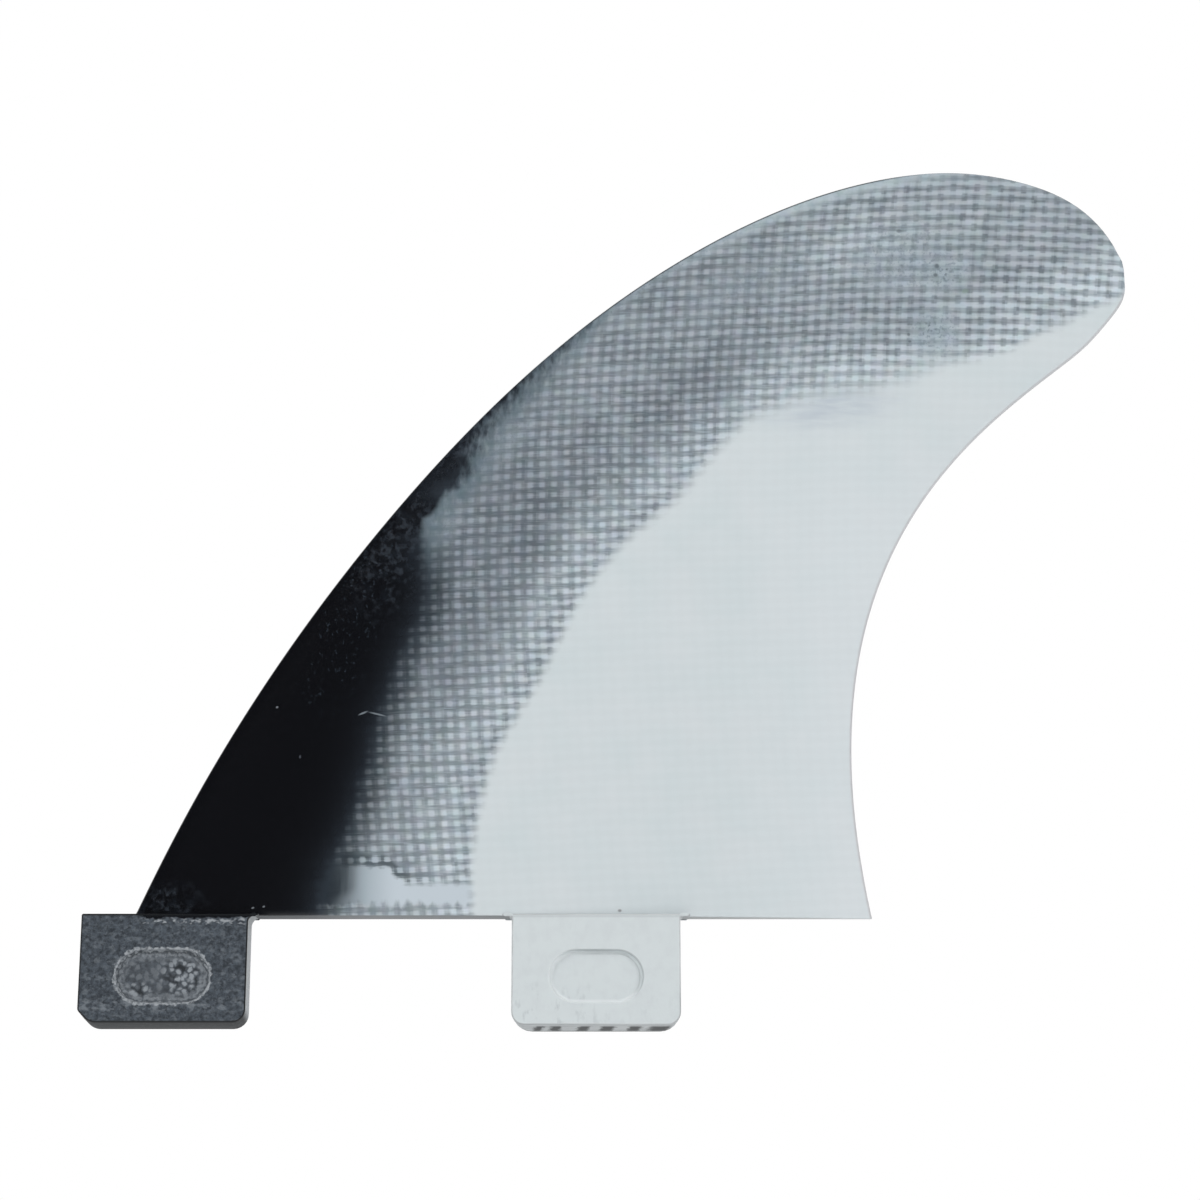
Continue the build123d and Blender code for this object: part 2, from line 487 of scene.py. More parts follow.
def tabs(shape, materials):
    """The front and the rear tab. Their corners are X, height and radius, in millimetres."""
    gap = shape.tab_gap / MM / 2
    top = shape.shoulder / MM
    bury = 0.02  # the fillets end this far inside the blade
    past = 1.6  # and the tab's top reaches this far past them
    small = 0.3
    corner, cut = shape.tab_corner / MM, shape.front_corner_cut / MM
    fillet, small_fillet = shape.front_fillet / MM, shape.rear_fillet / MM
    low = -shape.front_tab_depth / MM
    start = -gap - shape.front_tab_length / MM
    front_corners = [
        (start, top, small), (start, low + cut, 0.8), (start + cut, low, 2.4), (-gap, low, corner),
        (-gap, bury, fillet), (-gap + past, bury, 0), (-gap + past, top, 0),
    ]
    low = -shape.rear_tab_depth / MM
    end = gap + shape.rear_tab_length / MM
    rear_corners = [
        (gap - past, top, 0), (gap - past, bury, 0), (gap, bury, small_fillet), (gap, low, corner),
        (end, low, corner), (end, bury, small_fillet), (end + past, bury, 0), (end + past, top, 0),
    ]
    return [
        tab(shape, front_corners, 1.15, (start - gap) / 2, materials, (FRONT_SANDED, FRONT_CUT), 0.15),
        tab(shape, rear_corners, 1.6, (gap + end) / 2, materials, (REAR_SANDED, REAR_CUT), 0.0),
    ]


SHARP_ANGLE = radians(35)


def joined(whole, others):
    """whole united with the others into one closed mesh. The others are removed."""
    for other in others:
        union = whole.modifiers.new("union", "BOOLEAN")
        union.operation = "UNION"
        union.solver = "MANIFOLD"
        union.object = other
    depsgraph = bpy.context.evaluated_depsgraph_get()
    mesh = bpy.data.meshes.new_from_object(whole.evaluated_get(depsgraph))
    whole.modifiers.clear()
    whole.data = mesh
    for other in others:
        bpy.data.objects.remove(other)
    bm = bmesh.new()
    bm.from_mesh(mesh)
    weld = 1e-4  # millimetres
    bmesh.ops.remove_doubles(bm, verts=bm.verts, dist=weld)
    bmesh.ops.dissolve_degenerate(bm, edges=bm.edges, dist=weld)
    bmesh.ops.triangulate(bm, faces=[f for f in bm.faces if len(f.verts) > 4])
    loose = [e for e in bm.edges if len(e.link_faces) != 2]
    if loose:
        raise RuntimeError(f"the united fin has {len(loose)} open edges")
    for face in bm.faces:
        face.smooth = True
    bm.to_mesh(mesh)
    bm.free()
    mesh.set_sharp_from_angle(angle=SHARP_ANGLE)
    return whole


# Edges of the laminate's zones, in millimetres along the seat and up the blade. Each is a smooth line
# from below the seat to past the outline, with the points that its bends need.

BLACK_EDGE = [
    (-9.7, -20), (-9.3, 0.1), (-8.8, 3.5), (-7.3, 8.4), (-5.9, 11), (-3.4, 17.8), (-1.5, 24.6), (0, 31.2),
    (2.2, 38.1), (4.5, 45), (6.4, 48.9), (7.4, 52.6), (7.3, 58), (6.6, 62), (6.1, 65), (6.2, 66.7),
    (7.2, 67.3), (8.4, 68.2), (8.8, 69.6), (9.6, 70.9), (10.5, 71.6), (12, 71.9), (12.7, 73.3), (14, 74.5),
    (14.4, 76.5), (15.2, 79.5), (16.8, 82), (18.9, 85.4), (20.3, 87), (22.5, 89), (26, 93.3), (29.8, 97.5),
    (33.9, 102.3), (36, 106.5), (36.8, 114),
]
WHITE_EDGE = [
    (15.4, -20), (15.3, 0), (15, 9.6), (16.1, 16.3), (17.5, 22.4), (19.8, 28.6), (24.2, 35.8), (28.8, 44.8),
    (34, 54.6), (42.5, 64.5), (49.2, 70.2), (54, 76.2), (60.5, 82.8), (69.4, 86.7), (77.9, 88.6),
    (86.3, 90.1), (94, 93.4), (103.3, 95.6), (110.1, 99), (116.9, 102.2), (122.4, 104.8), (130, 109.2),
]
# The names under which the mesh keeps how far a place lies inside the black, the white and the outline
ZONES = ("in_black", "in_white", "in_outline")


def distance_left_of(points, places):
    """Distance of each place from a smooth line, above 0 on the line's left as it runs."""
    line, total = cubic_line(np.array(points, float))
    spacing = 0.25
    at = np.linspace(0, total, int(total / spacing))
    samples = line(at)
    ahead = np.gradient(samples, axis=0)
    ahead /= np.linalg.norm(ahead, axis=1)[:, None]
    found = np.empty(len(places))
    batch = 2000  # places measured at once, so that memory stays small
    for start in range(0, len(places), batch):
        part = places[start : start + batch]
        gap = part[:, None, :] - samples[None, :, :]
        squared = (gap**2).sum(axis=2)
        nearest = squared.argmin(axis=1)
        apart = gap[np.arange(len(part)), nearest]
        side = ahead[nearest, 0] * apart[:, 1] - ahead[nearest, 1] * apart[:, 0]
        found[start : start + len(part)] = np.sqrt(squared.min(axis=1)) * np.where(side < 0, -1, 1)
    return found


def mark_zones(fin):
    """Writes how far each vertex lies inside the black zone, inside the white zone and inside the outline,
    in millimetres, for the laminate's colours."""
    mesh = fin.data
    flat = np.empty(len(mesh.vertices) * 3)
    mesh.vertices.foreach_get("co", flat)
    places = flat.reshape(-1, 3)[:, [0, 2]]
    outline, _ = blade_outline()
    for name, line, side in zip(ZONES, (BLACK_EDGE, WHITE_EDGE, outline), (1, -1, -1)):
        values = side * distance_left_of(line, places)
        mesh.attributes.new(name, "FLOAT", "POINT").data.foreach_set("value", values.astype(np.float32))


# Materials

RESIN_IOR = 1.55  # polyester resin
SANDED_IOR = 1.5  # resin and glass, opened up by the paper

# The setting that holds each kind of node's mode
MODES = {
    "Math": "operation",
    "VectorMath": "operation",
    "MapRange": "interpolation_type",
    "Mix": "data_type",
    "Mapping": "vector_type",
}


def feed(socket, value):
    """Links another node's output to a socket, or writes a plain value or a written colour into it. A tuple
    that starts with an output stands for that value, mapped from one range to another, by default 0 to 1."""
    if isinstance(value, tuple) and isinstance(value[0], bpy.types.NodeSocket):
        value = add_node(socket.id_data, "MapRange", *value)
    if isinstance(value, bpy.types.NodeSocket):
        socket.id_data.links.new(value, socket)
    else:
        socket.default_value = linear(value) if isinstance(value, str) else value


def add_node(tree, kind, *inputs, out=0, **named):
    """Adds a shader node and returns one of its outputs, by number or name, or several by a slice. kind is
    the node's type, with a mode after a space, or in capitals an operation of the Math node. inputs go to
    the sockets in use, in their order, and named ones to the socket or the setting of that name."""
    kind, _, mode = (f"Math {kind}" if kind.isupper() else kind).partition(" ")
    node = tree.nodes.new("ShaderNode" + kind)
    if mode:
        setattr(node, MODES[kind], mode)
    for name, value in named.items():
        if name in node.inputs:
            feed(node.inputs[name], value)
        else:
            setattr(node, name, value)
    for socket, value in zip([socket for socket in node.inputs if socket.enabled], inputs):
        feed(socket, value)
    if isinstance(out, str):
        return node.outputs[out]
    return [socket for socket in node.outputs if socket.enabled][out]


def start_material(name):
    """A new material, the function that adds nodes to it, and the surface place in millimetres with its X,
    Y and Z."""
    material = bpy.data.materials.new(name)
    material.use_nodes = True
    add = partial(add_node, material.node_tree)
    place = add("VectorMath SCALE", add("TexCoord", out="Object"), 1 / MM)
    x, y, z = add("SeparateXYZ", place, out=slice(3))
    return material, add, place, x, y, z


def finish_material(material, skin, roughness, ior, bump_strength, bump_depth, relief):
    """Gives a material its colour, the roughness and IOR of its surface, and its relief."""
    sockets = material.node_tree.nodes["Principled BSDF"].inputs
    feed(sockets["Base Color"], skin)
    feed(sockets["Roughness"], roughness)
    feed(sockets["IOR"], ior)
    bump = add_node(material.node_tree, "Bump", Strength=bump_strength, Distance=bump_depth, Height=relief)
    feed(sockets["Normal"], bump)
    return material


def times(add, *values):
    """The product of several values."""
    product = values[0]
    for value in values[1:]:
        product = add("MULTIPLY", product, value)
    return product


def line_at(add, value, middle, half, strength=1):
    """A soft line where a value passes the middle."""
    apart = add("ABSOLUTE", add("ADD", value, -middle))
    return add("MapRange SMOOTHSTEP", apart, half * 0.4, half, strength, 0)


def noise_between(add, place, scale, low, high, to_low=0, to_high=1, stretch=None, detail=3):
    """Cloudy noise, taken from between low and high to another range. scale is in spots a millimetre."""
    if stretch:
        place = add("VectorMath MULTIPLY", place, stretch)
    return add("MapRange", add("TexNoise", place, scale, detail), low, high, to_low, to_high)


def coated(add, skin, *coats):
    """A skin with coats laid over it in turn, each given as how much of it shows and its colour."""
    for amount, ink in coats:
        skin = add("Mix RGBA", amount, skin, ink)
    return skin


THROUGH = 1000  # an oval reaches this far in millimetres through the blade, so that both faces show it


def soft_oval(add, place, centre, radii, turn=0, softness=0.6):
    """1 inside an oval on the blade, fading to 0 at its edge. centre and radii are X and Z in millimetres."""
    turned = (0, radians(-turn), 0)
    moved = add("Mapping TEXTURE", place, (centre[0], 0, centre[1]), turned, (radii[0], THROUGH, radii[1]))
    far = add("VectorMath LENGTH", moved)
    return add("MapRange SMOOTHSTEP", far, 1 - softness, 1, 1, 0)


def glass_cloth(add, place, x, z, in_white, finish):
    """Plain-woven glass cloth seen through resin. Returns how open the weave is, from 0 on a crossing of two
    threads to 1 in the gap between four, the same with the threads' own filaments and unevenness, how far
    the threads stand apart, the number of the lengthwise thread, and the wave across the upright ones."""
    drift = add("TexNoise", place, 1 / 22, 1.5, out=1)
    drift = add("VectorMath SUBTRACT", drift, (0.5, 0.5, 0.5))
    drift = add("VectorMath SCALE", drift, 1.1)
    drift_x, _, drift_z = add("SeparateXYZ", drift, out=slice(3))

    # The upright threads fan out: they lean forward low on the blade and back toward the tip
    fan = add("MULTIPLY_ADD", z, -0.000925, 0.12)
    fan = add("MULTIPLY_ADD", fan, z, x)
    fan = add("ADD", fan, drift_x)
    warp = add("DIVIDE", fan, finish.warp_pitch / MM)
    # The lengthwise threads climb a little toward the rear, and level out at the tip
    past = add("MAXIMUM", add("SUBTRACT", x, 75), 0)
    climb = add("MULTIPLY_ADD", x, -0.046, z)
    climb = add("MULTIPLY_ADD", add("MULTIPLY", past, past), 0.0009, climb)
    climb = add("ADD", climb, drift_z)
    weft = add("DIVIDE", climb, finish.weft_pitch / MM)

    warp_wave = add("COSINE", add("MULTIPLY", warp, 2 * pi))
    weft_wave = add("COSINE", add("MULTIPLY", weft, 2 * pi))
    between_warps = add("MapRange SMOOTHSTEP", warp_wave, -0.72, 0.95)
    between_wefts = add("MapRange SMOOTHSTEP", weft_wave, -0.7, 0.85)
    on_weft = add("SUBTRACT", 1, between_wefts)

    # Low on the blade the threads run together into rows. In the tip and by the white core they stand apart
    apart = add("MAXIMUM", (x, 25, 95, 0.12, 1), (in_white, -8, -1, 0, 0.9))
    apart = add("MAXIMUM", apart, (z, 66, 84, 0, 0.5))
    open_row = add("Mix FLOAT", between_warps, (apart, 0.3, 1, 0.33, 0.8), 1)
    thread_row = add("MULTIPLY_ADD", between_warps, 0.18, add("MULTIPLY", apart, 0.2))
    openness = add("MULTIPLY", between_wefts, open_row)
    openness = add("MULTIPLY_ADD", on_weft, thread_row, openness)
    # The upright thread is on top at every second crossing, and shows as a dark upright knot. At the others
    # the lengthwise one shows as a dash
    knot = add("MULTIPLY", *(add("SINE", add("MULTIPLY", wave, pi)) for wave in (warp, weft)))
    narrow = add("MapRange SMOOTHSTEP", warp_wave, 0.35, -0.75)
    tall = add("MapRange SMOOTHSTEP", weft_wave, 1.05, 0.4)
    upright = times(add, narrow, tall, add("GREATER_THAN", knot, 0))
    upright = add("MULTIPLY", upright, (apart, 0.1, 0.6, 0.3, 0.85))
    long = add("MapRange SMOOTHSTEP", warp_wave, 0.95, 0)
    flat = add("MapRange SMOOTHSTEP", weft_wave, 0.1, -0.75)
    dash = times(add, long, flat, add("LESS_THAN", knot, 0), apart, 0.06)
    openness = add("Mix FLOAT", upright, openness, 0.14)
    openness = add("MAXIMUM", add("SUBTRACT", openness, dash), 0)

    # Filaments: 9 micron in the real cloth, drawn about 0.25 mm wide so that they show
    grains = [
        add("TexNoise", add("VectorMath MULTIPLY", place, stretch), 1, 2)
        for stretch in ((0.35, 0.2, 4), (4, 0.2, 0.35))
    ]
    grain = add("Mix FLOAT", add("MULTIPLY", between_wefts, 0.3), *grains)
    cell = add("CombineXYZ", add("ADD", warp, 0.5), 0, add("ADD", weft, 0.5))
    luck = add("TexWhiteNoise", add("VectorMath FLOOR", cell))
    patchy = add("TexNoise", place, 0.45, 2)
    uneven = add("MULTIPLY", add("ADD", grain, -0.5), (apart, 0.2, 1, 1.3, 0.75))
    for part, weight in ((luck, 0.28), (patchy, 0.7)):
        uneven = add("MULTIPLY_ADD", add("ADD", part, -0.5), weight, uneven)
    full = add("ADD", openness, uneven, use_clamp=True)
    return openness, full, apart, weft, warp_wave


# Where the cloth looks darker or paler: centre, radii in millimetres, turn in degrees, and by how much
CLOUDS = [
    ((51, 87), (16, 11), 40, -0.09),
    ((33, 77), (6, 16), -12, -0.14),
    ((56.5, 88), (6, 5), 20, -0.25),
    ((99.5, 100), (10, 5), 25, -0.3),
    ((22.5, 56.5), (7, 5), 0, 0.14),
    ((15.5, 27), (4, 12), -8, -0.14),
    ((12.5, 67), (6, 12), -20, -0.12),
    ((87, 97), (12, 6), 8, -0.16),
    ((9, 37), (6, 15), -12, -0.12),
    ((21, 69), (12, 12), 0, -0.16),
    ((78, 114.5), (18, 7), 15, 0.24),
    ((24, 49), (5, 10), -25, 0.1),
    ((91.5, 101), (6, 5), 0, -0.22),
    ((111, 101.5), (10, 9), 0, -0.16),
    ((13, 17), (8, 14), 0, -0.14),
]

# Milky places: centre, radii in millimetres, turn in degrees, strength
MILKY_PLACES = [
    ((9.5, 65.5), (4, 6), 0, 0.5),
    ((20, 80), (5, 16), -48, 0.3),
    ((88, 112.5), (15, 10), 0, 0.5),
    ((92.5, 99.5), (6, 6), 0, 0.95),
    ((95, 109.5), (6, 4), 0, 0.6),
    ((62, 108.5), (18, 6), 26, 0.3),
]

# Scuffed places on the black core: centre, radii in millimetres, turn in degrees
SCUFFS = [((2, 61), (9, 17), -25), ((-35.5, 2.5), (9, 4.5), 0), ((12, 80), (8, 4), 50)]

# Small marks in the resin: centre, radii in millimetres, turn in degrees, colour, strength
MARKS = [
    ((-3.3, 33.5), (1.1, 0.22), 22, "#7D868D", 0.8),
    ((-0.9, 33.3), (2, 0.2), -14, "#7D868D", 0.8),
    ((-17.7, 34.8), (0.3, 0.25), 0, "#70757C", 0.9),
    ((-13.6, 26.3), (0.25, 0.4), 0, "#4A4F57", 0.8),
    ((-20.8, 1.3), (0.35, 0.2), 20, "#767C82", 0.9),
    ((-19, 1.5), (0.3, 0.2), 20, "#767C82", 0.9),
    ((86.8, 117.2), (0.7, 0.5), 0, "#5C646B", 0.7),
    ((93.1, 111), (0.6, 0.6), 0, "#5C646B", 0.7),
    ((92.9, 109.4), (0.5, 0.5), 0, "#5C646B", 0.7),
    ((97.9, 106.6), (0.9, 0.6), 20, "#7E8F85", 0.6),
    ((88.1, 98.9), (0.4, 0.4), 0, "#5C646B", 0.7),
    ((88.3, 97.7), (0.4, 0.3), 0, "#5C646B", 0.7),
    ((39, 0.9), (0.45, 0.35), 0, "#8E9092", 0.9),
]


def glassed_laminate(finish):
    """Hand-laid glass cloth under polished polyester resin, over a pigmented core that is black in front and
    white behind. The eye sees the weave as a grey lattice under an even gloss, darkest over the black."""
    material, add, place, x, y, z = start_material("Glass cloth under polished resin")
    in_black, in_white, in_outline = (add("Attribute", attribute_name=zone, out="Fac") for zone in ZONES)
    openness, weave, apart, weft, warp_wave = glass_cloth(add, place, x, z, in_white, finish)

    # The cloth is palest near the white core, low on the blade and out in the tip, where it is thin
    cloudy = add("TexNoise", place, 1 / 14, 2)
    backing = add("MULTIPLY", add("ADD", cloudy, -0.5), 0.4)
    pale = ((in_white, -13, -3, 0.45), (z, 60, 15, 0.37), (x, 20, 32, 0.2), (x, 50, 90, 0.2))
    for value, start, end, lift in pale:
        backing = add("ADD", backing, add("MapRange SMOOTHSTEP", value, start, end, 0, lift))
    for centre, radii, turn, lift in CLOUDS:
        here = soft_oval(add, place, centre, radii, turn, softness=1)
        backing = add("MULTIPLY_ADD", here, lift, backing)
    on_thread = add("MULTIPLY", backing, (apart, 0.2, 1, 1, 0.5))
    thread = add("Mix RGBA", on_thread, finish.thread_dark, finish.thread_pale)
    gap = add("Mix RGBA", backing, finish.gap_dark, finish.gap_pale)

    # Milky places, where the cloth lies short of resin and the lattice sinks into grainy haze
    fuzzy = add("TexNoise", place, 1 / 7, 2)
    fuzzy = add("MapRange SMOOTHSTEP", fuzzy, 0.42, 0.68, 0, 0.25)
    milky = noise_between(add, place, 0.5, 0.32, 0.68, 0.35, 1.35)
    haze = 0
    for centre, radii, turn, strength in MILKY_PLACES:
        here = soft_oval(add, place, centre, radii, turn, softness=0.95)
        haze = add("MULTIPLY_ADD", here, strength, haze)
    by_black = add("POWER", 0.5, add("ABSOLUTE", in_black))
    haze = add("MULTIPLY_ADD", by_black, (z, 61, 67, 0, 0.9), haze)
    along_front = add("MapRange SMOOTHSTEP", in_outline, 0.2, 2.4, 0.75, 0)
    along_front = times(add, along_front, (x, 28, 40), (x, 74, 104, 1, 0))
    haze = add("ADD", haze, along_front)
    haze = add("MULTIPLY", haze, milky, use_clamp=True)
    sunk = add("Mix FLOAT", fuzzy, weave, 0.42)
    sunk = add("Mix FLOAT", add("MULTIPLY", haze, 0.6), sunk, 0.5)
    cloth = add("Mix RGBA", sunk, thread, gap)
    cloth = add("Mix RGBA", add("MULTIPLY", haze, 0.5), cloth, finish.haze)
    dusk = add("MapRange SMOOTHSTEP", in_black, -5.5, -0.3)
    dusk = times(add, dusk, (z, 66, 58, 0, 0.7), (weave, 0, 1, 1.15, 0.85))
    shade = add("MULTIPLY", add("MapRange SMOOTHSTEP", in_black, -5, 0, 0, 0.85), (z, 54, 64))
    shade = add("MULTIPLY", shade, noise_between(add, place, 1.2, 0.3, 0.7, 0.6, 1.3, (1, 1, 0.35)))
    pits = add("MULTIPLY", haze, noise_between(add, place, 1.9, 0.52, 0.64, 0, 0.9))
    veil = add("MULTIPLY", (in_white, -5, 0, 0, 0.45), (x, 55, 70))
    veil = add("MULTIPLY", veil, (x, 88, 104, 1, 0))
    # Along the front of the tip the cloth stops short of the rim, and pale resin closes the edge
    in_tip = add("MULTIPLY", (x, 46, 68, 0, 0.8), (x, 84, 100, 1, 0.1))
    in_tip = add("MULTIPLY", in_tip, noise_between(add, place, 0.5, 0.3, 0.7, 0.6, 1.1))
    edge = add("MULTIPLY", add("MapRange SMOOTHSTEP", in_outline, 0.6, 3, 1, 0), in_tip)
    coats = ((dusk, "#232B31"), (shade, "#5F6D75"), (pits, "#66727B"), (veil, "#BCC5CA"), (edge, "#B7C4CA"))
    cloth = coated(add, cloth, *coats)
    tint = add("TexNoise", place, 0.5, 2, out=1)
    tint = add("VectorMath MULTIPLY_ADD", tint, (0.2, 0.1, 0.16), (0.888, 0.952, 0.925))
    cloth = add("VectorMath MULTIPLY", cloth, tint)

    # White core. The cloth fades out thread by thread, and crossings last longest
    fade = add("MULTIPLY", (x, 30, 85, 0.9, 1.6), (x, 88, 104, 1, 0.6))
    reach = add("MULTIPLY_ADD", add("ADD", weave, -0.45), 0.25, in_white)
    row = add("FLOOR", add("ADD", weft, 0.5))
    ragged = add("TexNoise", add("CombineXYZ", add("MULTIPLY", x, 0.12), 0, row), 1, 1)
    reach = add("MULTIPLY_ADD", add("ADD", ragged, -0.5), (x, 35, 70, 0.5, 1.8), reach)
    reach = add("DIVIDE", reach, fade)
    white = add("MapRange SMOOTHSTEP", reach, -1.7, 1)
    # The weave still shows faintly over the white core
    grid = add("MapRange", weave, 0, 1, 0.985, 1.008)
    core = add("Mix RGBA", add("TexNoise", place, 1 / 9, 3), "#C8D3D6", "#D3D8DB")
    rear = add("MULTIPLY", (x, 55, 78, 0, 0.35), (z, 88, 62))
    smear = soft_oval(add, place, (75, 86.5), (18, 6), 8, softness=1)
    smear = times(add, smear, noise_between(add, place, 0.6, 0.35, 0.65, 0.35, 1, (0.25, 1, 1.6)), 0.75)
    core = coated(add, core, (rear, "#DCE1E5"), (smear, "#AEB8C4"))
    skin = add("Mix RGBA", white, cloth, add("VectorMath SCALE", core, grid))

    # Below the cloth's cut edge, by the seat, lie a bare pale band and one last row of cloth
    step_up = add("MapRange SMOOTHSTEP", x, 4.4, 0.2, 5.2, 8)
    climb = add("MINIMUM", add("ADD", x, 1), 0)
    over = add("SUBTRACT", z, add("MULTIPLY_ADD", climb, -0.06, step_up))
    over = add("MULTIPLY_ADD", add("ADD", weave, -0.5), -0.9, over)
    cut_ends = add("MULTIPLY", line_at(add, over, 1.3, 1.3, 0.6), (weave, 0.15, 0.6, 1, 0))
    cut_ends = add("MULTIPLY", cut_ends, (x, 4, 9, 1, 0))
    skin = add("Mix RGBA", cut_ends, skin, "#3A434A")
    band = add("MapRange SMOOTHSTEP", over, -0.5, 0.9, 1, 0)
    drips = noise_between(add, place, 0.9, 0.3, 0.7, -0.5, 0.5, (1, 0.2, 0.5))
    strip = add("ADD", add("MULTIPLY_ADD", warp_wave, 0.28, z), drips)
    sooty = add("MapRange SMOOTHSTEP", x, -9.2, -1)
    clear = add("MapRange SMOOTHSTEP", x, -3.8, 3.4)
    bare = coated(add, "#2D343B", (sooty, "#A3AFB7"), (clear, "#C0CAD2"))
    not_white = add("SUBTRACT", 1, white)
    band = times(add, band, add("MapRange SMOOTHSTEP", strip, 1.2, 2.4), not_white)
    skin = add("Mix RGBA", band, skin, bare)

    # Black core. Its edge is ragged, thread by thread, with a smoky tail under the cloth
    threads = add("MapRange", z, 56, 66, 1, 0.2)
    rows = add("MULTIPLY", add("ADD", ragged, -0.5), threads)
    edge = add("MULTIPLY_ADD", rows, 1.8, in_black)
    streaks = noise_between(add, place, 1, 0.3, 0.7, -1.3, 1.3, (1, 0.1, 0.45))
    edge = add("MULTIPLY_ADD", streaks, (z, 70, 78), edge)
    frayed = add("MULTIPLY", add("ADD", weave, -0.4), threads)
    frayed = add("MULTIPLY_ADD", frayed, -0.5, edge)
    crisp = add("MULTIPLY", (z, 60, 66, 1, 0.35), (z, 71, 77, 1, 3.6))
    soft = add("MULTIPLY", (z, 15, 45, 1.7, 1.9), crisp)
    black = add("MapRange SMOOTHSTEP", add("DIVIDE", frayed, soft), -1, 1)
    tail = add("POWER", (z, 69, 72, 0.6, 0.66), add("MAXIMUM", edge, 0))
    tail = add("MULTIPLY", tail, (line_at(add, z, 67, 4.5), 0, 1, 1, 0.25))
    tail = add("MULTIPLY", tail, (weave, 0, 1, 0.9, 1.1), use_clamp=True)
    scuffed = 0
    for centre, radii, turn in SCUFFS:
        here = soft_oval(add, place, centre, radii, turn, softness=0.8)
        scuffed = add("ADD", scuffed, here, use_clamp=True)
    frost = add("MULTIPLY", noise_between(add, place, 0.55, 0.45, 0.75, 0, 0.28), scuffed)
    bent = add("TexNoise", place, 0.8, 2, out=1)
    bent = add("VectorMath MULTIPLY_ADD", bent, (1.6, 1.6, 1.6), place)
    rings = line_at(add, add("TexVoronoi", bent, 0.55), 0.42, 0.3, 0.4)
    rings = times(add, rings, scuffed, noise_between(add, place, 0.9, 0.45, 0.68))
    dust = soft_oval(add, place, (-5.5, 50), (8, 26), -20, softness=0.7)
    dust = add("MULTIPLY", dust, noise_between(add, place, 1.5, 0.6, 0.72, 0, 0.8, (1.2, 1, 0.8)))
    pitch = add("Mix RGBA", tail, finish.black_core, "#323A43")
    pitch = coated(add, pitch, (frost, "#2B343E"), (rings, "#444C56"), (dust, "#2C353E"))
    skin = add("Mix RGBA", black, skin, pitch)

    # Smoke of black pigment that ran under the resin beside the black core's foot
    smoke_end = add("MapRange SMOOTHSTEP", x, -5.6, -3, 1, 0)
    smoke_top = add("MapRange SMOOTHSTEP", z, 8.6, 11.5, 1, 0)
    smoke_foot = add("MapRange SMOOTHSTEP", add("MULTIPLY_ADD", x, -0.37, z), 4.2, 6.6)
    beside = add("SUBTRACT", 1, black)
    smoke = times(add, (x, -9.5, -4.5, 1, 0.5), smoke_end, smoke_top, smoke_foot, beside)
    wisps = noise_between(add, place, 1, 0.35, 0.65, 0.85, 1.08, (1.3, 0.1, 0.12), detail=2)
    smoke = add("MULTIPLY", smoke, wisps, use_clamp=True)
    skin = add("Mix RGBA", smoke, skin, "#252D34")

    # Along the front of the tip a fine dark line is painted on the rim as shade at the outline, and behind it
    # the rim has a pinkish line
    rim = add("MapRange", in_outline, 0.25, 0.5, 1, 0)
    ahead = times(add, (x, 20, 30), (x, 84, 92, 1, 0), beside)
    skin = add("Mix RGBA", times(add, rim, ahead, not_white, 0.9), skin, "#33373B")
    skin = add("Mix RGBA", times(add, rim, white, 0.5), skin, "#B3ACAF")

    for centre, radii, turn, ink, strength in MARKS:
        here = soft_oval(add, place, centre, radii, turn, softness=0.7)
        skin = add("Mix RGBA", add("MULTIPLY", here, strength), skin, ink)

    ripple = add("TexNoise", place, 1 / 7, 2)
    relief = add("MULTIPLY_ADD", ripple, 0.06, add("MULTIPLY", openness, -0.004))
    return finish_material(material, skin, finish.gloss, RESIN_IOR, 0.6, MM, relief)


def tab_place(add, y, z, shape):
    """Height along a tab from the seat, below 0 down the tab, and distance out of its middle plane."""
    lean, rise = sin(shape.tab_cant), cos(shape.tab_cant)
    height = add("MULTIPLY_ADD", y, lean, add("MULTIPLY", z, rise))
    out = add("MULTIPLY_ADD", y, -rise, add("MULTIPLY", z, lean))
    return height, out


def off_pocket(add, x, height, centre, shape):
    """Distance outside the rim of a tab's oval pocket, below 0 inside it."""
    end = shape.pocket_height / MM / 2
    middle = shape.pocket_length / MM / 2 - end
    along = add("ABSOLUTE", add("ADD", x, -centre))
    along = add("MAXIMUM", add("ADD", along, -middle), 0)
    across = add("ADD", height, shape.pocket_drop / MM)
    reach = add("VectorMath LENGTH", add("CombineXYZ", along, across, 0))
    return add("ADD", reach, -end)


